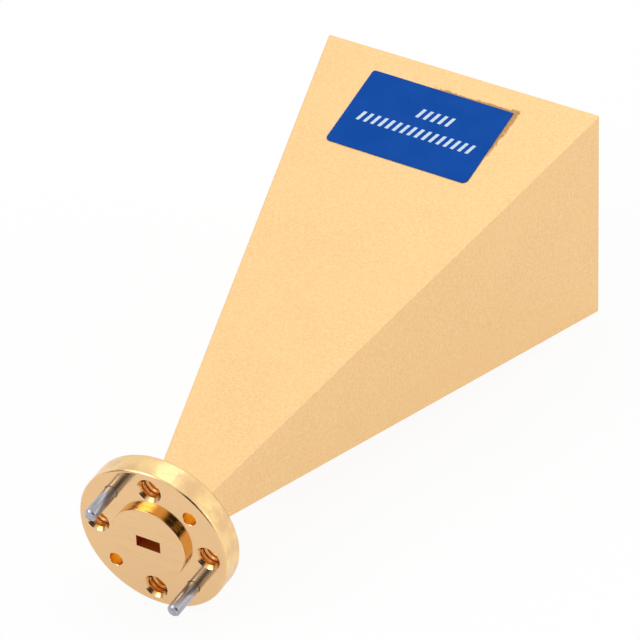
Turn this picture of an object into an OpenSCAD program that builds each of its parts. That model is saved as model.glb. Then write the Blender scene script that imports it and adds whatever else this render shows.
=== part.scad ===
// Pyramidal horn antenna with a round cover flange.
// The origin is the middle of the waveguide port, on the mating face of the boss.
// +Y runs along the axis from the port to the mouth, +X across the wide walls, +Z up.

/* [Waveguide] */
// Inside width of the waveguide
guide_w = 3.1; // [2.4:0.05:3.4]
// Inside height of the waveguide
guide_h = 1.55; // [1.2:0.05:2]
// Thickness of the horn's walls, measured square to the axis
wall = 1.016; // [0.7:0.05:1.1]

/* [Horn] */
// Outside width of the mouth
mouth_w = 36.6; // [30:0.5:44]
// Outside height of the mouth
mouth_h = 30; // [24:0.5:38]
// Length of the flare, from the back of the flange to the mouth
flare_len = 71.6; // [55:1:90]
// Length of the straight tail that seats in the flange
tail_len = 2.2; // [1.5:0.1:2.8]
// Width of the flat along each eased outside ridge
ridge_flat = 0.2; // [0.05:0.05:0.6]
// Size of the easing round the outside of the mouth
mouth_ease = 0.12; // [0.05:0.05:0.4]

/* [Flange] */
// Outside diameter of the flange
flange_d = 19.05; // [18.4:0.1:24]
// Thickness of the flange without its boss
flange_t = 3.175; // [3:0.1:6]
// Diameter of the boss that carries the mating face
boss_d = 9.525; // [8.4:0.1:10]
// Height of the boss above the flange's front face
boss_h = 0.9; // [0.4:0.1:1.5]
// Rounding of the flange's two rim edges
rim_r = 0.2; // [0.05:0.05:0.5]
// Easing round the edge of the mating face
boss_ease = 0.06; // [0.02:0.01:0.2]
// Solder gap all round the tail in its socket
solder_gap = 0.04; // [0.02:0.01:0.1]

/* [Holes and pins] */
// Diameter of the circle that holes and pins lie on
bolt_circle_d = 14.2875; // [13.6:0.1:14.8]
// Full diameter of the screw thread in the tapped holes
thread_d = 2.845; // [2:0.05:3]
// Diameter of the countersink at each end of a tapped hole
countersink_d = 3.1; // [3.05:0.05:3.4]
// Diameter of the alignment holes
align_hole_d = 1.7; // [1.65:0.05:2.2]
// Easing of the alignment holes' edges
align_ease = 0.04; // [0.02:0.01:0.1]
// Diameter of the dowel pins
pin_d = 1.562; // [1.2:0.05:1.6]
// Length that a dowel pin stands out of the flange's front face
pin_out = 4.64; // [2:0.1:6]
// Length of a dowel pin inside the flange
pin_in = 3.1; // [2:0.1:3.1]
// Size of the bevel on a dowel pin's ends
pin_bevel = 0.2; // [0.05:0.05:0.4]
// Gap between a dowel pin and the wall of its hole
pin_gap = 0.01; // [0.005:0.005:0.02]
// Width of the bevel round the mouth of a dowel pin's hole
pin_hole_bevel = 0.08; // [0.04:0.02:0.2]
// Narrowing of a dowel pin's seated length, on the radius, so that it starts in its hole
pin_lead = 0.02; // [0.01:0.01:0.1]

/* [Label] */
// Length of the label across the horn
label_w = 19; // [10:0.5:22]
// Width of the label along the horn
label_l = 12.3; // [8:0.1:16]
// Thickness of the label
label_t = 0.1; // [0.05:0.05:0.3]
// Corner radius of the label
label_r = 0.5; // [0.1:0.1:2]
// Distance from the mouth to the label's edge
label_to_mouth = 3.5; // [1:0.5:20]
// Sideways distance from the horn's centre line to the label's middle
label_shift = -0.87; // [-2:0.1:2]
// Turn of the label on its face
label_turn = -0.4; // [-3:0.1:3]

/* [Hidden] */
$fn = 96;
over = 0.5; // extra length that a cut runs past a face
arc_steps = 6; // straight steps in a quarter of a rim edge's rounding
screw_angles = [0, 90, 180, 270];
align_angles = [45, 225];
upper_pin_angle = 135;
lower_pin_angle = -45;

tail_w = guide_w + 2 * wall;
tail_h = guide_h + 2 * wall;
front_y = boss_h; // front face of the flange, round the boss
back_y = front_y + flange_t; // back face of the flange, where the flare starts
mouth_y = back_y + flare_len;
tail_y = back_y - tail_len; // front end of the tail, on the socket's floor
side_slope = (mouth_w - tail_w) / 2 / flare_len;
top_slope = (mouth_h - tail_h) / 2 / flare_len;

// Turns a shape made about +Z to lie about +Y.
module along_axis() {
    rotate([-90, 0, 0]) children();
}

// Places a shape on the bolt circle, at an angle from +X towards +Z.
module on_bolt_circle(angle) {
    r = bolt_circle_d / 2;
    translate([r * cos(angle), 0, r * sin(angle)]) children();
}

// Outline of a symmetric taper from half width a at y0 to half width b at y1,
// with its far corners eased by e.
function taper(a, b, y0, y1, e) =
    let (lip = b - e * (b - a) / (y1 - y0))
    [[y0, -a], [y1 - e, -lip], [y1, e - b], [y1, b - e], [y1 - e, lip], [y0, a]];

// Four-sided horn space: the part that a plan taper and a side taper share.
// inset moves all four walls in, and past carries them on beyond the mouth.
module pyramid(inset, past, ease) {
    half_w = mouth_w / 2 - inset + past * side_slope;
    half_h = mouth_h / 2 - inset + past * top_slope;
    far_y = mouth_y + past;
    intersection() {
        rotate([0, 0, 90]) mirror([0, 1, 0])
            linear_extrude(height = 2 * mouth_h, center = true)
                polygon(taper(tail_w / 2 - inset, half_w, back_y, far_y, ease));
        rotate([90, 0, 90])
            linear_extrude(height = 2 * mouth_w, center = true)
                polygon(taper(tail_h / 2 - inset, half_h, back_y, far_y, ease));
    }
}

// Straight rectangular bar along the axis.
module bar(w, h, from_y, to_y) {
    translate([-w / 2, from_y, -h / 2]) cube([w, to_y - from_y, h]);
}

// Block that takes the sharp edge off the ridge between the top and the +X wall.
module ridge_cut() {
    size = flare_len + mouth_w;
    lean = atan((side_slope + top_slope) / sqrt(2));
    translate([tail_w / 2, back_y, tail_h / 2])
        rotate([0, 45, 0]) rotate([lean, 0, 0])
            translate([-size / 2, -size / 2, -ridge_flat / 2])
                cube([size, 2 * size, size]);
}

module horn_flare() color([0.96, 0.83, 0.58]) {
    difference() {
        union() {
            pyramid(0, 0, mouth_ease);
            bar(tail_w, tail_h, tail_y, back_y + over);
        }
        pyramid(wall, over, 0);
        bar(guide_w, guide_h, tail_y - over, back_y + over);
        for (side = [0, 1], face = [0, 1])
            mirror([side, 0, 0]) mirror([0, 0, face]) ridge_cut();
    }
}

// Round outline of the flange, as radius and distance behind the front face.
function rim_round(mid_y, from_angle) = [
    for (i = [0 : arc_steps])
        let (a = from_angle + 90 * i / arc_steps)
            [flange_d / 2 - rim_r + rim_r * cos(a), mid_y + rim_r * sin(a)]
];

module flange_blank() {
    along_axis() rotate_extrude() polygon(concat(
        [[0, 0], [boss_d / 2 - boss_ease, 0], [boss_d / 2, boss_ease], [boss_d / 2, front_y]],
        rim_round(front_y + rim_r, -90),
        rim_round(back_y - rim_r, 0),
        [[0, back_y]]
    ));
}

// Cutter for a round hole through the flange, with a 45 degree bevel at the
// front and, where both is set, at the back.
module through_hole(d, bevel, both = true) {
    r = d / 2;
    along_axis() {
        translate([0, 0, front_y - over]) cylinder(r = r, h = flange_t + 2 * over);
        translate([0, 0, front_y - over])
            cylinder(r1 = r + bevel + over, r2 = r, h = bevel + over);
        if (both) translate([0, 0, back_y - bevel])
            cylinder(r1 = r, r2 = r + bevel + over, h = bevel + over);
    }
}

module flange() color([0.91, 0.75, 0.55]) {
    difference() {
        flange_blank();
        bar(guide_w, guide_h, -over, back_y);
        bar(tail_w + 2 * solder_gap, tail_h + 2 * solder_gap, tail_y, back_y + over);
        for (a = screw_angles)
            on_bolt_circle(a) through_hole(thread_d, (countersink_d - thread_d) / 2);
        for (a = align_angles)
            on_bolt_circle(a) through_hole(align_hole_d, align_ease);
        for (a = [upper_pin_angle, lower_pin_angle])
            on_bolt_circle(a) through_hole(pin_d + 2 * pin_gap, pin_hole_bevel, false);
    }
}

// Dowel pin, bevelled at both ends. It is straight where it stands out of the
// flange's front face, and narrows slightly over the length inside the flange.
module dowel_pin(angle) color([0.72, 0.72, 0.75]) {
    r = pin_d / 2;
    end_r = r - pin_lead;
    on_bolt_circle(angle) along_axis() translate([0, 0, front_y]) rotate_extrude()
        polygon([
            [0, -pin_out], [r - pin_bevel, -pin_out], [r, pin_bevel - pin_out], [r, 0],
            [end_r, pin_in - pin_bevel], [end_r - pin_bevel, pin_in], [0, pin_in]
        ]);
}

module dowel_pin_upper() {
    dowel_pin(upper_pin_angle);
}

module dowel_pin_lower() {
    dowel_pin(lower_pin_angle);
}

// Rectangle with round corners, centred on the origin.
module round_rectangle(w, l, r) {
    square([w - 2 * r, l], center = true);
    square([w, l - 2 * r], center = true);
    for (x = [-1, 1], y = [-1, 1])
        translate([x * (w / 2 - r), y * (l / 2 - r)]) circle(r = r);
}

// The label lies on the sloping top wall, just behind the mouth.
module label() color([0.1, 0.31, 0.67]) {
    translate([label_shift, mouth_y, mouth_h / 2]) rotate([atan(top_slope), 0, 0])
        translate([0, -label_to_mouth - label_l / 2, 0]) rotate([0, 0, label_turn])
            linear_extrude(height = label_t) round_rectangle(label_w, label_l, label_r);
}

horn_flare();
flange();
dowel_pin_upper();
dowel_pin_lower();
label();
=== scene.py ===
# %% [markdown]
# # A small gilded horn antenna
#
# The object is a hollow four-sided horn of thin metal, 75 mm long, that is
# soldered into a small round flange. Two steel dowel pins stand out of the
# flange, four tapped holes take the clamping screws, and a blue film label
# lies on the top of the horn.
#
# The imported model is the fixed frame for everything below. Every size and
# place is read from it, so the looks can't drift away from the solids.

# %% Load the frame and read the sizes
from math import asin, atan, atan2, cos, degrees, pi, radians, sin, sqrt

import bmesh
import bpy
from mathutils import Matrix, Vector


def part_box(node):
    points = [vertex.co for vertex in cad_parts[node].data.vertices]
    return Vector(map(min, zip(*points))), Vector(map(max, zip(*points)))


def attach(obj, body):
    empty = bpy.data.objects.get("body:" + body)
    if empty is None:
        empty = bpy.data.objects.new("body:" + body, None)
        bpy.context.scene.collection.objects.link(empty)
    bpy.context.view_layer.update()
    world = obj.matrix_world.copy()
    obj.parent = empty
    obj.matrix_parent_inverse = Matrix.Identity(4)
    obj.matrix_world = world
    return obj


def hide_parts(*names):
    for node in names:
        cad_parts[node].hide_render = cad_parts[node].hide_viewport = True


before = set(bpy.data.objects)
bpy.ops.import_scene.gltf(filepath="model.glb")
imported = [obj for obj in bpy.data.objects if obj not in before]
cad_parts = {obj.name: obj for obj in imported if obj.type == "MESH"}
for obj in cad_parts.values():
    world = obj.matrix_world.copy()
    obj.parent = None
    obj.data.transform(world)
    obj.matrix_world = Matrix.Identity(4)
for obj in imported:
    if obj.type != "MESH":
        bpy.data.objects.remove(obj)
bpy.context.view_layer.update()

MM = 0.001

flange_low, flange_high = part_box("flange")
horn_low, horn_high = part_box("horn_flare")
pin_low, pin_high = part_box("dowel_pin_upper")
label_low, label_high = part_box("label")

print("horn", [round(x / MM, 2) for x in horn_high - horn_low])
print("flange", [round(x / MM, 2) for x in flange_high - flange_low])

# %% [markdown]
# The solids give the large sizes. A few small ones, such as the height of the
# boss and the thread, are known from the flange's standard pattern, and are
# written down once here, in metres.

# %% Sizes of the flange and its holes
FLANGE_R = flange_high.x
BACK_Y = flange_high.y
BOSS_R = 4.7625 * MM
FRONT_Y = 0.9 * MM
RIM_ROUND = 0.3 * MM
BOSS_ROUND = 0.13 * MM
PORT_W, PORT_H = 3.1 * MM, 1.55 * MM
WALL = 1.016 * MM
SOLDER = 0.08 * MM  # the two gaps beside the horn's tail
SOCKET_W = PORT_W + 2 * WALL + SOLDER
SOCKET_H = PORT_H + 2 * WALL + SOLDER
SOCKET_Y = horn_low.y
BOLT_R = 14.2875 / 2 * MM
THREAD_R, CREST_R = 1.4225 * MM, 1.19 * MM
PITCH = 0.635 * MM
THREAD_START = FRONT_Y + 0.22 * MM
COUNTERSINK_R = 1.55 * MM
ALIGN_R, ALIGN_BEVEL = 0.85 * MM, 0.04 * MM
PIN_R, PIN_GAP, PIN_HOLE_BEVEL = 0.781 * MM, 0.01 * MM, 0.08 * MM
SCREW_ANGLES = (0, 90, 180, 270)
ALIGN_ANGLES = (45, 225)
PIN_ANGLES = {"dowel_pin_upper": 135, "dowel_pin_lower": -45}

print("flange thickness", round((BACK_Y - FRONT_Y) / MM, 3), "mm")

# %% [markdown]
# A node tree reads best as arithmetic. `Wire` wraps one socket, and adding,
# multiplying or comparing wires puts the Math nodes in. `Tree` adds every
# other node, in a material, the world or Geometry Nodes alike: the type comes
# first, then its settings, then the values or wires of its sockets.

# %% Wires and trees
class Wire:
    """One output socket that can be used in arithmetic."""

    def __init__(self, tree, socket):
        self.tree, self.socket = tree, socket

    def math(self, operation, *values):
        """Adds a Math node that works on the given values or wires."""
        node = self.tree.nodes.new("ShaderNodeMath")
        node.operation = operation
        for slot, value in zip(node.inputs, values):
            feed(self.tree, slot, value)
        return Wire(self.tree, node.outputs[0])

    def __add__(self, other):
        return self.math("ADD", self, other)

    def __sub__(self, other):
        return self.math("SUBTRACT", self, other)

    def __rsub__(self, other):
        return self.math("SUBTRACT", other, self)

    def __mul__(self, other):
        return self.math("MULTIPLY", self, other)

    def __truediv__(self, other):
        return self.math("DIVIDE", self, other)

    def __rtruediv__(self, other):
        return self.math("DIVIDE", other, self)

    def __abs__(self):
        return self.math("ABSOLUTE", self)

    __radd__, __rmul__ = __add__, __mul__

    def above(self, level):
        """1 above a level, and 0 elsewhere."""
        return self.math("GREATER_THAN", self, level)

    def most(self, other):
        """The greater of two values."""
        return self.math("MAXIMUM", self, other)

    def root(self):
        """The square root."""
        return self.math("SQRT", self)


def feed(tree, socket, value):
    """Links a wire to a socket, or sets the socket's own value."""
    if isinstance(value, Wire):
        tree.links.new(value.socket, socket)
    else:
        socket.default_value = value


def find(sockets, name):
    """The socket in use that has this name. A Mix node keeps several."""
    for socket in sockets:
        if socket.name.replace(" ", "_") == name and socket.enabled:
            return socket
    raise KeyError(name)


class Tree:
    """A node tree that nodes are added to by type, settings and sockets."""

    def __init__(self, tree):
        self.tree = tree
        tree.nodes.clear()

    def add(self, kind, settings=None, out=None, **sockets):
        """Adds a node, and returns a wire from its output."""
        node = self.tree.nodes.new(kind)
        for key, value in (settings or {}).items():
            setattr(node, key, value)
        for name, value in sockets.items():
            feed(self.tree, find(node.inputs, name), value)
        if not node.outputs:
            return node
        return Wire(self.tree, find(node.outputs, out) if out else
                    next(s for s in node.outputs if s.enabled))

    def out_of(self, wire, name):
        """Another output of the node that a wire comes from."""
        return Wire(self.tree, find(wire.socket.node.outputs, name))

    def smooth(self, value, low, high):
        """0 below low, 1 above high, and an easy slope between them."""
        return self.add("ShaderNodeMapRange",
                        {"interpolation_type": "SMOOTHSTEP"},
                        Value=value, From_Min=low, From_Max=high)

    def fade(self, value, low, high):
        """1 below low, 0 above high, and an easy slope between them."""
        return 1 - self.smooth(value, low, high)

    def band(self, value, rise, fall):
        """1 between two slopes, each given by where it starts and ends."""
        return self.smooth(value, *rise) * self.fade(value, *fall)

    def noise(self, place, scale, detail=2.0, roughness=0.5, stretch=None):
        """Smooth random values about 0.5, scale lumps to a millimetre."""
        if stretch:
            place = self.add("ShaderNodeVectorMath", {"operation": "MULTIPLY"},
                             Vector=place)
            place.socket.node.inputs[1].default_value = stretch
        return self.add("ShaderNodeTexNoise", out="Fac", Vector=place,
                        Scale=scale / MM, Detail=detail, Roughness=roughness)

    def blend(self, factor, first, second):
        """A colour that goes from first to second with the factor."""
        return self.add("ShaderNodeMix", {"data_type": "RGBA"},
                        Factor=factor, A=first, B=second)

    def mix(self, factor, first, second):
        """A surface between two others."""
        wire = self.add("ShaderNodeMixShader")
        inputs = wire.socket.node.inputs
        for socket, value in zip(inputs, (factor, first, second)):
            feed(self.tree, socket, value)
        return wire


def shade(*levels):
    """A colour as a socket wants it."""
    return (*levels, 1.0)


print("node helpers ready")

# %% [markdown]
# Every piece ends as a plain mesh at the origin, with its place in its
# vertices. Its faces are smooth, and an edge is kept sharp where two faces
# meet at more than a set angle, as a machined edge does.

# %% Making a piece from a mesh
SEAM = 1e-7  # in metres, how close two points of a seam lie


def smooth_faces(mesh, sharp):
    """Shades every face smooth, and keeps edges past an angle crisp."""
    for face in mesh.polygons:
        face.use_smooth = True
    mesh.set_sharp_from_angle(angle=radians(sharp))


def new_piece(name, mesh, finish, sharp=30):
    """Puts a mesh in the scene as a piece with its finish."""
    piece = bpy.data.objects.new(name, mesh)
    bpy.context.scene.collection.objects.link(piece)
    smooth_faces(mesh, sharp)
    mesh.materials.append(finish)
    return piece


def mesh_of(name, bm):
    """Closes a bmesh: merges its seams and turns its faces outwards."""
    bmesh.ops.remove_doubles(bm, verts=bm.verts, dist=SEAM)
    bmesh.ops.recalc_face_normals(bm, faces=bm.faces)
    mesh = bpy.data.meshes.new(name)
    bm.to_mesh(mesh)
    bm.free()
    return mesh


def plain_mesh(piece):
    """The piece's mesh with its modifiers used up."""
    graph = bpy.context.evaluated_depsgraph_get()
    mesh = bpy.data.meshes.new_from_object(piece.evaluated_get(graph),
                                           depsgraph=graph)
    piece.modifiers.clear()
    return mesh


def tell(piece):
    """Prints how many faces a piece has, and its box in millimetres."""
    places = [vertex.co / MM for vertex in piece.data.vertices]
    low = [round(min(place[i] for place in places), 2) for i in range(3)]
    high = [round(max(place[i] for place in places), 2) for i in range(3)]
    print(piece.name, len(piece.data.polygons), "faces, from", low, "to", high)


print("piece helpers ready")

# %% [markdown]
# Turned work is drawn as half an outline: a radius and a place along the axis
# for each corner. `turn_outline` spins it about a line along +Y, and closes it
# with a single point wherever the radius is nothing.

# %% The lathe
def on_circle(radius, angle):
    """X and Z of a point on a circle about the axis."""
    return radius * cos(radians(angle)), radius * sin(radians(angle))


def round_corner(radius_at, y_at, radius, start, steps=5):
    """Points of a quarter round about a centre, from a start angle."""
    angles = [start + 90 * i / steps for i in range(steps + 1)]
    return [(radius_at + radius * cos(radians(a)),
             y_at + radius * sin(radians(a)))
            for a in angles]


def turn_outline(bm, outline, segments, centre=(0, 0)):
    """Spins an outline into a closed skin about a line along Y."""
    rings = []
    for radius, y in outline:
        if not radius:
            rings.append([bm.verts.new((centre[0], y, centre[1]))] * segments)
            continue
        ring = []
        for i in range(segments):
            x, z = on_circle(radius, 360 * i / segments)
            ring.append(bm.verts.new((centre[0] + x, y, centre[1] + z)))
        rings.append(ring)
    for near, far in zip(rings, rings[1:]):
        for i in range(segments):
            j = (i + 1) % segments
            corners = list(dict.fromkeys((near[i], near[j], far[j], far[i])))
            if len(corners) > 2:
                bm.faces.new(corners)


def add_bar(bm, width, height, from_y, to_y):
    """A straight rectangular bar along the axis."""
    spot = Matrix.Translation((0, (from_y + to_y) / 2, 0))
    size = Matrix.Diagonal((width, to_y - from_y, height, 1))
    bmesh.ops.create_cube(bm, size=1, matrix=spot @ size)


print("lathe ready")

# %% [markdown]
# ## The finishes
#
# Gold over bare metal has no other colour than its own reflection, so both
# golds are plain metal whose colour is the gold's. What sets them apart is
# how rough they are, and the marks that the work has left. Each finish reads
# the piece's own coordinates, so that its pattern stays on the piece.

# %% Helpers that the finishes share
def new_finish(name):
    """A new material, and its node tree to be filled."""
    material = bpy.data.materials.new(name)
    material.use_nodes = True
    return material, Tree(material.node_tree)


def on_object(tree):
    """The place on the piece, in the object's own coordinates."""
    return tree.add("ShaderNodeTexCoord", out="Object")


def in_mm(tree, place):
    """X, Y and Z of a place, as wires in millimetres."""
    split = tree.add("ShaderNodeSeparateXYZ", Vector=place)
    return [tree.out_of(split, axis) / MM for axis in "XYZ"]


def use_surface(tree, surface):
    """Makes a shader the surface of its material."""
    tree.add("ShaderNodeOutputMaterial", Surface=surface)


print("finish helpers ready")

# %% [markdown]
# The label has been moved or rubbed once: a ragged line of brown adhesive
# shows along its right edge and beyond the right half of its far edge. It is
# thin as a breath, so it is drawn in the horn's finish, as a mask that is
# measured from the label's own edges.

# %% The adhesive left beside the label
LABEL_MID = (label_low + label_high) / 2 / MM
LABEL_HALF = (label_high - label_low) / 2 / MM


def adhesive(tree, place, x, y, z):
    """1 where old adhesive lies on the top wall, and 0 elsewhere."""
    mid, half = LABEL_MID, LABEL_HALF
    ragged = tree.noise(place, 1.6, detail=4, roughness=0.7) - 0.5
    coarse = tree.noise(place, 0.45, detail=1) - 0.5
    right = x - (mid.x + half.x)
    far = y - (mid.y + half.y)
    # along the right edge it is wide at the far corner, and thins out
    reach = tree.smooth(y, mid.y - 1.5, mid.y + half.y)
    strip = tree.fade(right + ragged * 1.3,
                      0.25 + reach * 0.25, 0.4 + reach * 0.45) \
        * tree.smooth(y + coarse * 3, mid.y - 1.8, mid.y + 0.6) \
        * tree.smooth(right, -0.6, -0.4) * tree.fade(far, 0.35, 0.6)
    # beyond the far edge it shows in narrow patches
    beyond = tree.fade(far + ragged * 0.8 + coarse * 0.5, 0.12, 0.32) \
        * tree.smooth(x + coarse * 4, mid.x - 2.5, mid.x + 0.5) \
        * tree.smooth(far, -0.7, -0.5) * tree.fade(right, 0.2, 0.5)
    return strip.most(beyond) * tree.smooth(z, mid.z - 2.5, mid.z - 2.0)


print("the label's middle is at", [round(a, 2) for a in LABEL_MID], "mm")

# %% [markdown]
# The horn is bead blasted before it is gilded, so its gold is matt, with a
# fine even sparkle and faint cloudy patches. Noise of two sizes gives both,
# and the finer one also makes the surface a little uneven. The sparkle is
# painted: lighter gold at the peaks of the finer noise.

# %% The blasted gold of the horn
def make_blasted_gold():
    material, tree = new_finish("blasted_gold_finish")
    place = on_object(tree)
    clouds = tree.noise(place, 0.12, detail=3, roughness=0.55)
    speckle = tree.noise(place, 3.2, detail=3, roughness=0.7)
    gold = tree.blend(tree.smooth(clouds, 0.3, 0.7),
                      shade(0.915, 0.590, 0.274), shade(0.945, 0.624, 0.294))
    # painted sparkle: lighter gold where the fine speckle is high
    gold = tree.blend(tree.smooth(speckle, 0.35, 0.7),
                      gold, shade(0.980, 0.694, 0.362))
    glue = adhesive(tree, place, *in_mm(tree, place))
    grime = tree.blend(tree.noise(place, 2.2, detail=3),
                       shade(0.33, 0.13, 0.03), shade(0.74, 0.40, 0.13))
    colour = tree.blend(glue * 0.85, gold, grime)
    bump = tree.add("ShaderNodeBump", Strength=0.35, Distance=0.012 * MM,
                    Height=speckle + tree.noise(place, 9.0, detail=1) * 0.5)
    surface = tree.add("ShaderNodeBsdfPrincipled", Base_Color=colour,
                       Metallic=1.0 - glue * 0.7,
                       Roughness=0.43 + clouds * 0.08 + glue * 0.2,
                       Normal=bump)
    use_surface(tree, surface)
    return material


blasted_gold = make_blasted_gold()
print("made", blasted_gold.name)

# %% [markdown]
# The flange is turned. Its faces are almost mirrors, its rim is a satin whose
# cloudy pale patches are painted sheen, and the wall of its boss keeps the
# lines of the tool. One finish serves all of it: masks by radius and depth
# tell its parts apart, and each mask blends in a colour and adds its
# roughness. The colours of the boss's wall, the holes and the port are
# painted shade and reflection, deeper where gold faces gold. The lapping
# lines on the boss are painted a little darker too.

# %% The turned gold of the flange
def make_turned_gold():
    material, tree = new_finish("turned_gold_finish")
    place = on_object(tree)
    x, y, z = in_mm(tree, place)
    radius = (x * x + z * z).root()
    front, back = FRONT_Y / MM, BACK_Y / MM
    outer, boss = FLANGE_R / MM, BOSS_R / MM
    half_w, half_h = PORT_W / 2 / MM, PORT_H / 2 / MM

    # the rim, the boss and its wall, and the inside of the port and the holes
    rim = tree.smooth(radius, outer - 0.06, outer - 0.01)
    on_boss = tree.fade(radius, boss - 0.1, boss)
    wall = tree.band(radius, (boss - 0.06, boss - 0.02),
                     (boss + 0.01, boss + 0.04))
    port = tree.fade(abs(x), half_w + 0.005, half_w + 0.02) \
        * tree.fade(abs(z), half_h + 0.005, half_h + 0.02) \
        * tree.smooth(y, 0.01, 0.05)
    inner = tree.fade(radius, outer - 0.6, outer - 0.4)
    inside = inner * tree.band(y, (front + 0.15, front + 0.3),
                               (back - 0.2, back - 0.05))
    sunk = inner * tree.band(y, (front + 0.02, front + 0.1),
                             (back - 0.1, back - 0.02))
    # the alignment holes are the ones whose X and Z have the same sign
    reamed = inside * tree.smooth(x * z, 9.0, 11.0)

    # the tool leaves rings: fine ones on the faces, deeper ones on the wall
    across = tree.add("ShaderNodeCombineXYZ", X=radius, Y=y)
    rings = tree.add("ShaderNodeTexNoise", out="Fac",
                     Vector=across, Scale=9.0, Detail=3.0, Roughness=0.7)
    # the mating face is lapped flat, which leaves fine straight lines
    lapped = tree.noise(place, 0.5, detail=4, roughness=0.75,
                        stretch=(0.35, 1, 9))
    wave = tree.noise(place, 0.55, detail=2)
    clouds = tree.noise(place, 0.35, detail=2)

    gold = tree.blend(clouds, shade(0.815, 0.525, 0.270),
                      shade(0.850, 0.555, 0.290))
    # the rim is a satin whose pale cloudy patches are painted sheen
    satin = tree.blend(tree.smooth(wave, 0.3, 0.68),
                       shade(0.855, 0.555, 0.28), shade(0.98, 0.69, 0.32))
    # painted reflection: the boss's lapping lines are painted a little darker
    painted_lapping_lines = on_boss * tree.smooth(lapped, 0.48, 0.72) * 0.5
    for mask, colour in ((rim, satin),
                         # the wall's deep colour is a painted reflection of gold
                         # in gold
                         (wall, shade(0.77, 0.45, 0.14)),
                         (painted_lapping_lines, shade(0.70, 0.43, 0.21)),
                         # the tapped holes are painted darker and deeper, shade
                         # inside the recess
                         (inside, shade(0.75, 0.38, 0.12)),
                         # the alignment holes are painted a saturated orange,
                         # reflection of gold in gold
                         (reamed, shade(1.0, 0.62, 0.12)),
                         # the port is painted dark red-brown, shade inside the
                         # bore
                         (port, shade(0.87, 0.29, 0.05))):
        gold = tree.blend(mask, gold, colour)
    marks = rings * (1 - on_boss) * (1 + wall * 12) + lapped * on_boss * 3 \
        + wave * rim * 90
    bump = tree.add("ShaderNodeBump", Strength=1.0, Distance=0.001 * MM,
                    Height=marks)
    rough = 0.12 + rim * 0.17 + port * 0.35 + sunk * 0.11 + reamed * 0.1
    surface = tree.add("ShaderNodeBsdfPrincipled", Base_Color=gold, Metallic=1.0,
                       Roughness=rough, Normal=bump)
    use_surface(tree, surface)
    return material


turned_gold = make_turned_gold()
print("made", turned_gold.name)

# %% [markdown]
# Dowel pins are ground steel: grey, bright, with hair lines that run round
# the pin. Stretched noise makes the lines, and longer streaks along the pin.
# The streaks' dark and light grey is a painted reflection; in the bump they
# make the surface a little uneven.

# %% The steel of the pins
def make_pin_steel():
    material, tree = new_finish("pin_steel_finish")
    place = on_object(tree)
    hair = tree.noise(place, 1.6, detail=4, roughness=0.7, stretch=(1, 7, 1))
    streak = tree.noise(place, 2.0, detail=3, roughness=0.6,
                        stretch=(1, 0.12, 1))
    # painted reflection: dark and light grey streaks along the pin
    steel = tree.blend(tree.smooth(streak, 0.3, 0.7),
                       shade(0.30, 0.30, 0.33), shade(0.54, 0.54, 0.59))
    bump = tree.add("ShaderNodeBump", Strength=0.12, Distance=0.01 * MM,
                    Height=hair + streak)
    surface = tree.add("ShaderNodeBsdfPrincipled", Base_Color=steel,
                       Metallic=0.8, Roughness=0.24 + hair * 0.10, Normal=bump)
    use_surface(tree, surface)
    return material


pin_steel = make_pin_steel()
print("made", pin_steel.name)

# %% [markdown]
# The label is a blue film with hardly any gloss. Its ink is even, with
# lighter blotches where it has been handled. The print on it is a pale
# bluish white that has worn thin here and there.

# %% The blue film and its print
def make_blue_film():
    material, tree = new_finish("blue_film_finish")
    place = on_object(tree)
    blotch = tree.noise(place, 0.22, detail=2, roughness=0.6)
    grain = tree.noise(place, 2.5, detail=3, roughness=0.7)
    ink = tree.blend(tree.smooth(blotch, 0.35, 0.75),
                     shade(0.000, 0.068, 0.365), shade(0.004, 0.077, 0.400))
    ink = tree.blend(tree.smooth(grain, 0.5, 0.8) * 0.25,
                     ink, shade(0.014, 0.095, 0.43))
    bump = tree.add("ShaderNodeBump", Strength=0.2, Distance=0.02 * MM,
                    Height=grain)
    surface = tree.add("ShaderNodeBsdfPrincipled", Base_Color=ink,
                       Roughness=0.38 + blotch * 0.15, Normal=bump,
                       Specular_IOR_Level=0.06)
    use_surface(tree, surface)
    return material


def make_print_white():
    material, tree = new_finish("print_white_finish")
    thin = tree.noise(on_object(tree), 3.0, detail=3, roughness=0.7)
    ink = tree.blend(tree.smooth(thin, 0.45, 0.8),
                     shade(0.66, 0.78, 0.93), shade(0.42, 0.56, 0.80))
    surface = tree.add("ShaderNodeBsdfPrincipled", Base_Color=ink, Roughness=0.5)
    use_surface(tree, surface)
    return material


blue_film = make_blue_film()
print_white = make_print_white()
print("made", blue_film.name, "and", print_white.name)

# %% [markdown]
# ## The screw thread
#
# A tap cuts the thread into a drilled hole: a sixty degree groove that climbs
# by one pitch in each turn. So the tap itself is made, as a solid screw, and
# is then taken away from the flange. Its surface follows a rule, which suits
# Geometry Nodes: a flat grid is wrapped round, each column a little higher
# than the last, so that the last column meets the first one a pitch further
# on. One tap is placed on each of the four points of the bolt circle.

# %% The tree that makes the taps
FLANK_SLOPE = 0.57735  # how far a sixty degree flank climbs as it goes out
PITCH_ROWS = 4  # two for the groove's floor, and two for the crest
NUDGE = 1e-4  # keeps a whole number from being rounded down
WELD = 0.01 * MM  # points closer than this become one


def growing_tree(name, sizes):
    """A Geometry Nodes tree whose inputs are named sizes and a finish."""
    group = bpy.data.node_groups.new(name, "GeometryNodeTree")
    tree = Tree(group)
    for label, value in sizes.items():
        kind = "Int" if isinstance(value, int) else "Float"
        socket = group.interface.new_socket(label, in_out="INPUT",
                                            socket_type="NodeSocket" + kind)
        socket.default_value = value
    for label, way, kind in (("Finish", "INPUT", "Material"),
                             ("Geometry", "OUTPUT", "Geometry")):
        group.interface.new_socket(label, in_out=way,
                                   socket_type="NodeSocket" + kind)
    first = tree.add("NodeGroupInput")
    return group, tree, lambda label: tree.out_of(first, label.replace(" ", "_"))


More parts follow.
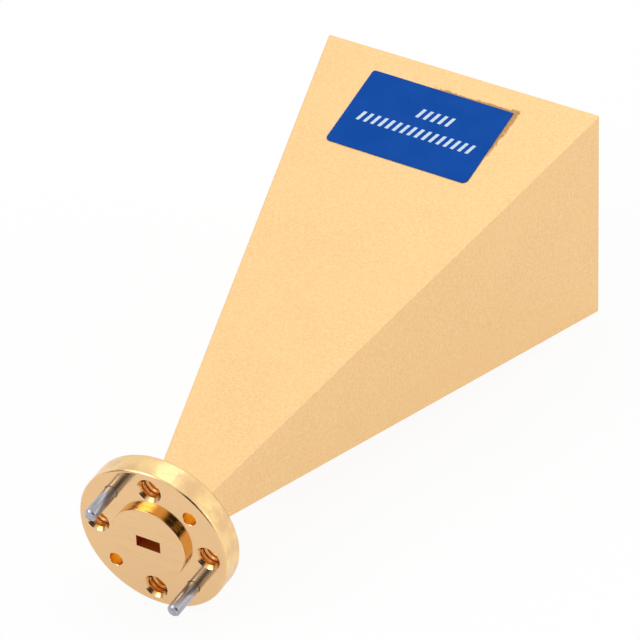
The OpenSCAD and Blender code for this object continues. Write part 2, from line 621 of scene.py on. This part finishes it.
def tap_tree():
    group, tree, size = growing_tree("four_taps", {
        "Groove Radius": THREAD_R, "Crest Radius": CREST_R, "Pitch": PITCH,
        "Start": THREAD_START, "Bolt Radius": BOLT_R, "Columns": 64, "Turns": 8})
    groove, crest = size("Groove Radius"), size("Crest Radius")
    start, pitch = size("Start"), size("Pitch")
    columns, turns = size("Columns"), size("Turns")

    # a flat grid whose rows become the corners of the thread
    rows = turns * PITCH_ROWS
    grid = tree.add("GeometryNodeMeshGrid", Size_X=1.0, Size_Y=1.0,
                    Vertices_X=columns + 1, Vertices_Y=rows + 1)
    index = tree.add("GeometryNodeInputIndex")
    column = (index / (rows + 1)).math("FLOOR", index / (rows + 1) + NUDGE)
    row = index - column * (rows + 1)
    turn = row.math("FLOOR", row / PITCH_ROWS + NUDGE)
    step = row - turn * PITCH_ROWS
    floor = pitch / 8
    flank = (groove - crest) * FLANK_SLOPE
    rise = step.above(0.5) * floor + step.above(1.5) * flank \
        + step.above(2.5) * (pitch - floor - flank * 2)
    radius = groove - (groove - crest) * step.above(1.5)
    angle = column / columns * (2 * pi)
    height = start + (turn + column / columns) * pitch + rise
    place = tree.add("ShaderNodeCombineXYZ", X=radius * angle.math("SINE", angle),
                     Y=height, Z=radius * angle.math("COSINE", angle))
    screw = tree.add("GeometryNodeSetPosition", Geometry=grid, Position=place)
    screw = tree.add("GeometryNodeMergeByDistance", Geometry=screw,
                     Distance=WELD)

    # each open end is drawn together to a point on the tap's own axis
    sides = tree.add("GeometryNodeInputMeshEdgeNeighbors")
    ends = tree.add("GeometryNodeExtrudeMesh", {"mode": "EDGES"}, Mesh=screw,
                    Selection=1 - sides.above(1.5), Offset_Scale=0.0)
    where = tree.add("GeometryNodeInputPosition")
    along = tree.out_of(tree.add("ShaderNodeSeparateXYZ", Vector=where), "Y")
    length = (turns + 1) * pitch
    far = along.above(start + length / 2)
    point = tree.add("ShaderNodeCombineXYZ", Y=start + length * far)
    screw = tree.add("GeometryNodeSetPosition", Geometry=ends,
                     Selection=tree.out_of(ends, "Top"), Position=point)
    screw = tree.add("GeometryNodeMergeByDistance", Geometry=screw,
                     Distance=WELD)

    places = tree.add("GeometryNodeMeshCircle", Vertices=len(SCREW_ANGLES),
                      Radius=size("Bolt Radius"))
    places = tree.add("GeometryNodeTransform", Geometry=places,
                      Rotation=(pi / 2, 0, 0))
    taps = tree.add("GeometryNodeInstanceOnPoints", Points=places, Instance=screw)
    taps = tree.add("GeometryNodeRealizeInstances", Geometry=taps)
    taps = tree.add("GeometryNodeSetMaterial", Geometry=taps,
                    Material=size("Finish"))
    tree.add("NodeGroupOutput", Geometry=taps)
    return group


taps = tap_tree()
print("the tree", taps.name, "has", len(taps.nodes), "nodes")

# %% [markdown]
# A tree runs as a modifier on a piece that has no mesh of its own. The result
# is taken out as a plain mesh, and the piece is thrown away.

# %% Grow the taps
def grow(name, group, **values):
    """Runs a Geometry Nodes tree on an empty piece, and returns its mesh."""
    piece = bpy.data.objects.new(name, bpy.data.meshes.new(name))
    bpy.context.scene.collection.objects.link(piece)
    modifier = piece.modifiers.new(name, "NODES")
    modifier.node_group = group
    for socket in group.interface.items_tree:
        key = socket.name.replace(" ", "_")
        if socket.in_out == "INPUT" and key in values:
            modifier[socket.identifier] = values[key]
    mesh = plain_mesh(piece)
    bpy.data.objects.remove(piece)
    return mesh


taps_mesh = grow("taps", taps, Finish=turned_gold)
print("taps:", len(taps_mesh.polygons), "faces")

# %% [markdown]
# ## The flange
#
# The blank is turned, then bored, drilled, countersunk and tapped. The blank
# is an outline on the lathe with one extra ring inside each rounding, so that
# the flat faces stay flat to the light. Each tool is a mesh that a Boolean
# takes away, and tools that would cut each other go into separate meshes.

# %% Turn the blank
FLAT = 0.05 * MM  # between a rounding and its extra ring


def flange_outline():
    front = [(0, 0), (BOSS_R - BOSS_ROUND - FLAT, 0)]
    boss = round_corner(BOSS_R - BOSS_ROUND, BOSS_ROUND, BOSS_ROUND, -90, steps=4)
    foot = [(BOSS_R, BOSS_ROUND + FLAT), (BOSS_R, FRONT_Y),
            (BOSS_R + FLAT, FRONT_Y)]
    rim_front = [(FLANGE_R - RIM_ROUND - FLAT, FRONT_Y)] + round_corner(
        FLANGE_R - RIM_ROUND, FRONT_Y + RIM_ROUND, RIM_ROUND, -90)
    rim_back = [(FLANGE_R, FRONT_Y + RIM_ROUND + FLAT),
                (FLANGE_R, BACK_Y - RIM_ROUND - FLAT)] + round_corner(
        FLANGE_R - RIM_ROUND, BACK_Y - RIM_ROUND, RIM_ROUND, 0)
    back = [(FLANGE_R - RIM_ROUND - FLAT, BACK_Y), (0, BACK_Y)]
    return front + boss + foot + rim_front + rim_back + back


bm = bmesh.new()
turn_outline(bm, flange_outline(), 240)
flange = new_piece("turned_flange", mesh_of("turned_flange", bm), turned_gold)
tell(flange)

# %% Make the cutting tools
PAST = 0.5 * MM  # how far a tool reaches past the metal
OVERLAP = 0.1 * MM  # how far the port's tool reaches into the socket
HAIR = 0.02 * MM  # how far a drill stays inside the thread's crest


def drill(bm, radius, bevel, centre, back_bevel=None):
    """A drill with a countersink at each face that it passes."""
    back = bevel if back_bevel is None else back_bevel
    turn_outline(bm, [(0, FRONT_Y - PAST),
                      (radius + bevel + PAST, FRONT_Y - PAST),
                      (radius, FRONT_Y + bevel), (radius, BACK_Y - back),
                      (radius + back + PAST, BACK_Y + PAST), (0, BACK_Y + PAST)],
                 64, centre)


bm = bmesh.new()
for angle in SCREW_ANGLES:
    drill(bm, CREST_R - HAIR, COUNTERSINK_R - CREST_R + HAIR,
          on_circle(BOLT_R, angle))
for angle in ALIGN_ANGLES:
    drill(bm, ALIGN_R, ALIGN_BEVEL, on_circle(BOLT_R, angle))
for angle in PIN_ANGLES.values():
    drill(bm, PIN_R + PIN_GAP, PIN_HOLE_BEVEL, on_circle(BOLT_R, angle),
          back_bevel=PIN_GAP)
add_bar(bm, PORT_W, PORT_H, -PAST, SOCKET_Y + OVERLAP)
drills_mesh = mesh_of("drills", bm)

# the faces of the taps have to look outwards too
bm = bmesh.new()
bm.from_mesh(taps_mesh)
taps_mesh = mesh_of("taps", bm)

bm = bmesh.new()
add_bar(bm, SOCKET_W, SOCKET_H, SOCKET_Y, BACK_Y + PAST)
socket_mesh = mesh_of("socket_tool", bm)
print("drills", len(drills_mesh.polygons), "faces, taps",
      len(taps_mesh.polygons))

# %% [markdown]
# A Boolean keeps the blank's own faces wherever no tool touches them. The cut
# edges meet at steep angles, so they stay sharp at a slightly smaller angle
# than other pieces' edges do.

# %% Cut the flange
def cut(piece, *tools):
    """Takes each tool's mesh away from the piece."""
    helpers = []
    for mesh in tools:
        tool = bpy.data.objects.new(mesh.name, mesh)
        bpy.context.scene.collection.objects.link(tool)
        modifier = piece.modifiers.new(mesh.name, "BOOLEAN")
        modifier.operation, modifier.solver = "DIFFERENCE", "EXACT"
        modifier.object = tool
        helpers.append(tool)
    piece.data = plain_mesh(piece)
    for tool in helpers:
        bpy.data.objects.remove(tool)
    smooth_faces(piece.data, sharp=28)


cut(flange, drills_mesh, taps_mesh, socket_mesh)
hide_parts("flange")
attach(flange, "root")
tell(flange)

# %% [markdown]
# ## The dowel pins
#
# Each pin is a turned outline too: a flat end with a bevel, whose corners are
# eased a little, as a ground pin's are. It narrows slightly inside the flange.

# %% Turn the pins
def pin_outline():
    front, back = pin_low.y, pin_high.y
    bevel, ease, lead = 0.2 * MM, 0.03 * MM, 0.02 * MM
    return [(0, front), (PIN_R - bevel - ease, front),
            (PIN_R - bevel, front + ease * 0.35),
            (PIN_R - ease * 0.35, front + bevel), (PIN_R, front + bevel + ease),
            (PIN_R, FRONT_Y), (PIN_R - lead, back - bevel),
            (PIN_R - lead - bevel, back), (0, back)]


for name, angle in PIN_ANGLES.items():
    bm = bmesh.new()
    turn_outline(bm, pin_outline(), 72, on_circle(BOLT_R, angle))
    pin = new_piece("ground_" + name, mesh_of(name, bm), pin_steel, sharp=22)
    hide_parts(name)
    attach(pin, "root")
    tell(pin)

# %% [markdown]
# ## The label
#
# The label is a thin film whose corners were cut by hand: three are round and
# one is almost square, and its left side swells a little. It is drawn as rows
# of points across the film. Near a round corner the rows draw in as the
# corner does, so every face stays four-sided. The top follows small waves.

# %% Where the label lies
TOP_SLOPE = (horn_high.z - (PORT_H / 2 + WALL)) / (horn_high.y - BACK_Y)
TOP_LEAN = atan(TOP_SLOPE)
LABEL_TURN = radians(-0.4)
LABEL_W, LABEL_L, LABEL_T = 19.0 * MM, 12.3 * MM, 0.1 * MM
LABEL_SHIFT, LABEL_TO_MOUTH = -0.87 * MM, 3.5 * MM
MOUTH_TOP = 15.0 * MM

label_place = (Matrix.Translation((LABEL_SHIFT, horn_high.y, MOUTH_TOP))
               @ Matrix.Rotation(TOP_LEAN, 4, "X")
               @ Matrix.Translation((0, -LABEL_TO_MOUTH - LABEL_L / 2, 0))
               @ Matrix.Rotation(LABEL_TURN, 4, "Z"))
print("label's middle", [round(x / MM, 2) for x in label_place.translation])

# %% Cut the film
FILM_ROWS, FILM_COLUMNS = 44, 60
CORNERS = {"left far": 0.4, "right far": 0.12,  # their radii in millimetres
           "left near": 0.55, "right near": 0.75}


def draw_in(distance, radius):
    """How far a side draws in at a distance from the end of a round corner."""
    if distance >= radius:
        return 0.0
    return radius - sqrt(max(0.0, radius ** 2 - (radius - distance) ** 2))


def film_side(side, y):
    """X of the film's left or right side at a place along it."""
    far = draw_in(LABEL_L / 2 - y, CORNERS[side + " far"] * MM)
    near = draw_in(LABEL_L / 2 + y, CORNERS[side + " near"] * MM)
    return LABEL_W / 2 - far - near


def film_rows():
    """Places along the film, close together at its ends."""
    return [LABEL_L / 2 * sin(pi / 2 * (2 * i / FILM_ROWS - 1))
            for i in range(FILM_ROWS + 1)]


def film_wave(x, y):
    """How far the film's top sinks at a point: soft waves of a few microns."""
    along, across = y / LABEL_L, x / LABEL_W
    return LABEL_T * (0.10 + 0.06 * sin(9 * across + 2 * along)
                      + 0.05 * sin(7 * along - 4 * across + 1))


def film_mesh():
    bm = bmesh.new()
    tops, bottoms = [], []
    for y in film_rows():
        left, right = -film_side("left", y), film_side("right", y)
        top, bottom = [], []
        for i in range(FILM_COLUMNS + 1):
            x = left + (right - left) * (1 - cos(pi * i / FILM_COLUMNS)) / 2
            top.append(bm.verts.new(label_place @ Vector(
                (x, y, LABEL_T - film_wave(x, y)))))
            bottom.append(bm.verts.new(label_place @ Vector((x, y, 0))))
        tops.append(top)
        bottoms.append(bottom)
    for grid in (tops, bottoms):
        for low, high in zip(grid, grid[1:]):
            for i in range(FILM_COLUMNS):
                bm.faces.new((low[i], low[i + 1], high[i + 1], high[i]))
    # the wall runs round the film from its first row's left end
    first, last = list(zip(tops[0], bottoms[0])), list(zip(tops[-1], bottoms[-1]))
    lefts = [(top[0], bottom[0]) for top, bottom in zip(tops, bottoms)]
    rights = [(top[-1], bottom[-1]) for top, bottom in zip(tops, bottoms)]
    edge = first + rights[1:] + last[-2::-1] + lefts[-2:0:-1]
    for (t0, b0), (t1, b1) in zip(edge, edge[1:] + edge[:1]):
        bm.faces.new((t0, t1, b1, b0))
    return mesh_of("label_film", bm)


film = new_piece("label_film", film_mesh(), blue_film)
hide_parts("label")
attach(film, "root")
tell(film)

# %% [markdown]
# The label is printed in two rows, a long one and a short one. Here they are
# plain slanted strokes that say nothing. A stroke repeats along a line, so
# Geometry Nodes place it, and each row is one run of the same tree.

# %% The tree that prints a row of strokes
def stroke_tree():
    group, tree, size = growing_tree("row_of_strokes", {
        "Count": 4, "Step": 1 * MM, "Stroke Width": 0.3 * MM,
        "Stroke Height": 1.5 * MM, "Stroke Lean": 0.3, "Thickness": 0.02 * MM})
    count, step = size("Count"), size("Step")

    # one stroke is a thin bar that leans
    bar = tree.add("ShaderNodeCombineXYZ", X=size("Stroke Width"),
                   Y=size("Stroke Height"), Z=size("Thickness"))
    stroke = tree.add("GeometryNodeMeshCube", out="Mesh", Size=bar)
    where = tree.add("GeometryNodeInputPosition")
    along = tree.out_of(tree.add("ShaderNodeSeparateXYZ", Vector=where), "Y")
    lean = tree.add("ShaderNodeCombineXYZ", X=along * size("Stroke Lean"))
    stroke = tree.add("GeometryNodeSetPosition", Geometry=stroke, Offset=lean)

    # it repeats in even steps on both sides of the row's middle
    start = tree.add("ShaderNodeCombineXYZ", X=(count - 1) * step * -0.5)
    offset = tree.add("ShaderNodeCombineXYZ", X=step)
    line = tree.add("GeometryNodeMeshLine", Count=count, Start_Location=start,
                    Offset=offset)
    strokes = tree.add("GeometryNodeInstanceOnPoints", Points=line,
                       Instance=stroke)
    strokes = tree.add("GeometryNodeRealizeInstances", Geometry=strokes)
    strokes = tree.add("GeometryNodeSetMaterial", Geometry=strokes,
                       Material=size("Finish"))
    tree.add("NodeGroupOutput", Geometry=strokes)
    return group


# %% Print the label
PRINT_ROWS = (  # the row's middle in X and Y, and its number of strokes
    (0.1 * MM, -1.1 * MM, 16),
    (1.2 * MM, 1.9 * MM, 5),
)
PRINT_T, PRINT_SUNK = 0.02 * MM, 0.002 * MM

strokes = stroke_tree()
bm = bmesh.new()
for x, y, count in PRINT_ROWS:
    row = grow("print_row", strokes, Count=count, Step=0.98 * MM,
               Stroke_Width=0.42 * MM, Stroke_Height=1.5 * MM,
               Stroke_Lean=0.28, Thickness=PRINT_T, Finish=print_white)
    row.transform(label_place @ Matrix.Translation((x, y, LABEL_T - PRINT_SUNK)))
    bm.from_mesh(row)
print_piece = new_piece("label_print", mesh_of("label_print", bm), print_white)
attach(print_piece, "root")
tell(print_piece)

# %% [markdown]
# ## The horn
#
# The horn's solid is already right: four sloping walls of even thickness, a
# square tail in the flange's socket, and eased ridges. It only takes its
# finish, and its mesh is left as it came.

# %% Finish the horn
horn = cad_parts["horn_flare"]
horn.data.materials.clear()
horn.data.materials.append(blasted_gold)
print("horn's finish:", horn.data.materials[0].name)

# %% [markdown]
# ## The studio
#
# The horn lies on a white table, on the lower edge of its mouth and on the
# rim of its flange, so it leans a few degrees. The object keeps its own
# frame, so the table leans instead, through those two edges.

# %% The table
rim_foot = Vector((0, FRONT_Y + RIM_ROUND, -FLANGE_R))
mouth_foot = Vector((0, horn_high.y, horn_low.z))
run = mouth_foot - rim_foot
table_lean = atan2(run.z, run.y)
table_up = Vector((0, -sin(table_lean), cos(table_lean)))
print("the table leans", round(degrees(table_lean), 2), "degrees")

TABLE_SIZE = 3.0
TABLE_GAP = 0.02 * MM
bm = bmesh.new()
bmesh.ops.create_grid(
    bm, x_segments=1, y_segments=1, size=TABLE_SIZE / 2,
    matrix=Matrix.Translation(rim_foot - table_up * TABLE_GAP)
    @ Matrix.Rotation(table_lean, 4, "X"))
table_mesh = bpy.data.meshes.new("table")
bm.to_mesh(table_mesh)
bm.free()
table = bpy.data.objects.new("table", table_mesh)
bpy.context.scene.collection.objects.link(table)

# %% [markdown]
# The table is plain white paint that takes the horn's soft shadow. To the
# camera it is also mostly as bright as the white wall behind it, so the
# picture's ground is white without more light on the object. Metal sees a
# share of that brightness too. From below it is clear, like no table at all.

# %% The table's finish
TO_CAMERA, TO_METAL = 0.92, 0.7  # how much of each ray sees the glow


def make_table_white():
    material, tree = new_finish("table_white")
    rays = tree.add("ShaderNodeLightPath", out="Is_Camera_Ray")
    glowing = rays * TO_CAMERA \
        + tree.out_of(rays, "Is_Transmission_Ray") * TO_CAMERA \
        + tree.out_of(rays, "Is_Glossy_Ray") * TO_METAL
    paint = tree.add("ShaderNodeBsdfDiffuse", Color=shade(0.95, 0.95, 0.95))
    glow = tree.add("ShaderNodeEmission", Strength=1.0)
    clear = tree.add("ShaderNodeBsdfTransparent")
    below = tree.add("ShaderNodeNewGeometry", out="Backfacing")
    top = tree.mix(glowing, paint, glow)
    use_surface(tree, tree.mix(below, top, clear))
    return material


table_mesh.materials.append(make_table_white())
print("table is", TABLE_SIZE, "m wide")

# %% [markdown]
# A white room lights the object evenly, a little less from the sides than
# from above. A mirror of gold is only as good as what it mirrors, so two
# parts of the room are dark, and draw the dark lines along the turned edges.

# %% The room
DARK_PARTS = (  # direction, brightness, and where the part ends, in degrees
    ((0.67, -0.66, 0.34), 0.03, 29, 41),
    ((-0.78, -0.62, 0.05), 0.10, 9, 26),
)

world = bpy.data.worlds.new("white_room")
world.use_nodes = True
bpy.context.scene.world = world
room = Tree(world.node_tree)
direction = room.add("ShaderNodeTexCoord", out="Generated")
up = room.out_of(room.add("ShaderNodeSeparateXYZ", Vector=direction), "Z")
level = 0.84 + room.smooth(up, -0.2, 0.9) * 0.14


def near_to(direction, towards, inner, outer):
    """1 within an angle of a direction, and 0 beyond a wider one."""
    dot = room.add("ShaderNodeVectorMath", {"operation": "DOT_PRODUCT"},
                   out="Value", Vector=direction)
    dot.socket.node.inputs[1].default_value = Vector(towards).normalized()
    return room.smooth(dot, cos(radians(outer)), cos(radians(inner)))


for towards, tone, inner, outer in DARK_PARTS:
    part = near_to(direction, towards, inner, outer)
    level = level + (tone - level) * part
rays = room.add("ShaderNodeLightPath", out="Is_Camera_Ray")
plain = rays.most(room.out_of(rays, "Is_Transmission_Ray"))
level = level + (1.0 - level) * plain
background = room.add("ShaderNodeBackground", Color=shade(1, 1, 1),
                      Strength=level)
room.add("ShaderNodeOutputWorld", Surface=background)
print("the room has", len(DARK_PARTS), "dark parts")

# %% [markdown]
# Soft boxes stand round the table. One stands behind and above, and
# lights the top of the rim. One stands at the front left, and lights the
# near side of the boss. One stands at the right, and draws the bright line
# along the rim's front edge and the horn's ridge. A narrow strip breaks the
# dark part with one thin streak.

# %% The soft boxes
BOX_AWAY = 1.5


def soft_box(name, towards, width, height, radiance):
    """A rectangular lamp of a given brightness that faces the flange."""
    light = bpy.data.lights.new(name, "AREA")
    light.shape, light.size, light.size_y = "RECTANGLE", width, height
    light.energy = radiance * pi * width * height
    box = bpy.data.objects.new(name, light)
    bpy.context.scene.collection.objects.link(box)
    out = Vector(towards).normalized()
    box.location = out * BOX_AWAY
    box.rotation_mode = "QUATERNION"
    box.rotation_quaternion = out.to_track_quat("Z", "Y")


soft_box("box_behind", (-0.13, 0.62, 0.774), 0.60, 0.60, 1.0)
soft_box("box_front", (-0.55, -0.60, 0.58), 0.75, 0.75, 2.5)
soft_box("box_right", (0.88, 0.30, 0.36), 0.80, 0.80, 1.05)
soft_box("strip_right", (0.68, -0.62, 0.39), 0.035, 0.50, 1.8)
print("soft boxes:", len(bpy.data.lights))

# %% [markdown]
# ## The camera
#
# A long lens, just over half a metre away, looks down on the flange from
# the front right. It keeps level with the table and not with the horn's own
# axis.

# %% Set up the camera
LENS, SENSOR = 279.04, 36.0
EYE = Vector((227.5, -344.73, 369.65)) * MM
AHEAD = Vector((-0.3938, 0.6654, -0.6342)).normalized()
ROLL = radians(-0.21)

data = bpy.data.cameras.new("camera")
data.lens, data.sensor_width = LENS, SENSOR
data.clip_start, data.clip_end = 0.01, 20.0
camera = bpy.data.objects.new("camera", data)
bpy.context.scene.collection.objects.link(camera)
across = AHEAD.cross(table_up).normalized()
over = across.cross(AHEAD)
level_turn = Matrix((across, over, -AHEAD)).transposed()
turn = Matrix.Rotation(ROLL, 3, AHEAD) @ level_turn
camera.matrix_world = Matrix.Translation(EYE) @ turn.to_4x4()
bpy.context.scene.camera = camera
bpy.context.scene.view_settings.view_transform = "Standard"
print("camera right", [round(x, 4) for x in turn.col[0]])
print("camera looks down", round(degrees(asin(-AHEAD.z)), 1), "degrees")
